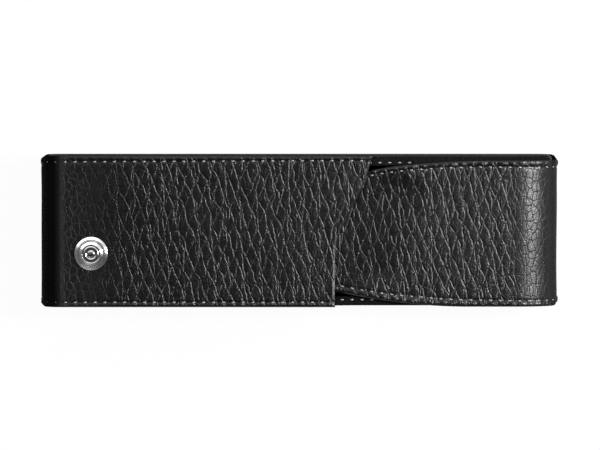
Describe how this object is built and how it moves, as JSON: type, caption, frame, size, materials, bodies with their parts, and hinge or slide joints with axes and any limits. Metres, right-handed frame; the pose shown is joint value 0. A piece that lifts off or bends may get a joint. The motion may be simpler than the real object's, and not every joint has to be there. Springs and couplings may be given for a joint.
{
  "type": "leather pen case",
  "caption": "Slim case of grained black leather for two pens, with a fold-over end, a flap that tucks under a slanted mouth and a round metal stud.",
  "frame": {"origin": "middle of the case's footprint, on the surface that its back rests on", "axes": "+X along the case towards the folding end, +Y towards the upper long edge, +Z out of the front face"},
  "size_m": [0.16, 0.0464, 0.0221],
  "materials": {
    "grained_leather": "pebbled grain, semi-matt, black",
    "gusset_leather": "fine grain, semi-matt, black",
    "divider_leather": "smooth, matt, black",
    "lining_cloth": "fine plain weave, matt, black",
    "stiffener_board": "raw grey board",
    "stud_metal": "polished plate",
    "rivet_metal": "plain nickelled steel"
  },
  "bodies": {
    "case": {"outer_shell": "grained_leather", "shell_lining": "lining_cloth", "back_stiffener": "stiffener_board", "upper_gusset": "gusset_leather", "upper_gusset_lining": "lining_cloth", "lower_gusset": "gusset_leather", "lower_gusset_lining": "lining_cloth", "divider": "divider_leather", "stud_base": "stud_metal", "stud_face": "stud_metal", "stud_rivet": "rivet_metal", "stud_washer": "rivet_metal"},
    "end_wall": {"end_wall": "grained_leather", "end_wall_lining": "lining_cloth"},
    "flap": {"flap": "grained_leather", "flap_lining": "lining_cloth", "flap_tongue": "grained_leather", "flap_tongue_lining": "lining_cloth"}
  },
  "joints": [
    {"name": "end_wall_fold", "type": "hinge", "parent": "case", "child": "end_wall", "pos_m": [0.07828, 0, 0.00172], "axis": [0, 1, 0], "range_deg": [0, 90], "deforming": ["flap_tongue", "flap_tongue_lining"]},
    {"name": "flap_fold", "type": "hinge", "parent": "end_wall", "child": "flap", "pos_m": [0.07775, 0, 0.01695], "axis": [0, 1, 0], "range_deg": [0, 90], "deforming": ["flap_tongue", "flap_tongue_lining"]}
  ]
}
